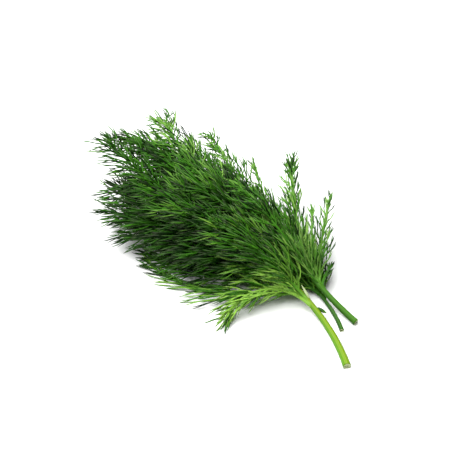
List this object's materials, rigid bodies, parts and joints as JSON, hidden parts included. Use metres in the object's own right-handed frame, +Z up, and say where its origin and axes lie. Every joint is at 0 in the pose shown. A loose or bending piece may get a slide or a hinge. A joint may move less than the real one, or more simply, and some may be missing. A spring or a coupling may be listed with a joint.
{
  "type": "dill bunch",
  "caption": "Bunch of cut dill lying on its side: slender green stems that fan out into feathery fronds of fine needles.",
  "frame": {"origin": "on the surface that the bunch lies on, under the middle of its bounding box", "axes": "+Z up from the surface, +X along the bunch towards the cut ends of the stems, -X towards the tips of the fronds, +Y towards the back stem's side"},
  "size_m": [0.2352, 0.1415, 0.0567],
  "materials": {
    "stem": "smooth waxy yellow-green skin of a fresh herb stem, faintly ribbed along its length",
    "leaf_front": "satin mid-green skin of fresh dill needles, lighter and yellower at the low outer frond",
    "leaf_back": "satin fresh green skin of dill needles, paler at their thin tips",
    "leaf_middle": "satin deep green skin of dill needles"
  },
  "bodies": {
    "root": {"stem_front": "stem", "stem_back": "stem", "stem_middle": "stem", "frond_front_1": "leaf_front", "frond_front_2": "leaf_front", "frond_front_3": "leaf_front", "frond_front_4": "leaf_front", "frond_front_5": "leaf_front", "frond_front_6": "leaf_front", "frond_front_7": "leaf_front", "frond_front_8": "leaf_front", "frond_front_9": "leaf_front", "frond_back_1": "leaf_back", "frond_back_2": "leaf_back", "frond_back_3": "leaf_back", "frond_back_4": "leaf_back", "frond_back_5": "leaf_back", "frond_back_6": "leaf_back", "frond_back_7": "leaf_back", "frond_back_8": "leaf_back", "frond_back_9": "leaf_back", "frond_back_10": "leaf_back", "frond_back_11": "leaf_back", "frond_middle_1": "leaf_middle", "frond_middle_2": "leaf_middle", "frond_middle_3": "leaf_middle", "frond_middle_4": "leaf_middle", "frond_middle_5": "leaf_middle", "frond_middle_6": "leaf_middle", "frond_middle_7": "leaf_middle", "frond_middle_8": "leaf_middle", "frond_middle_9": "leaf_middle"}
  },
  "joints": []
}
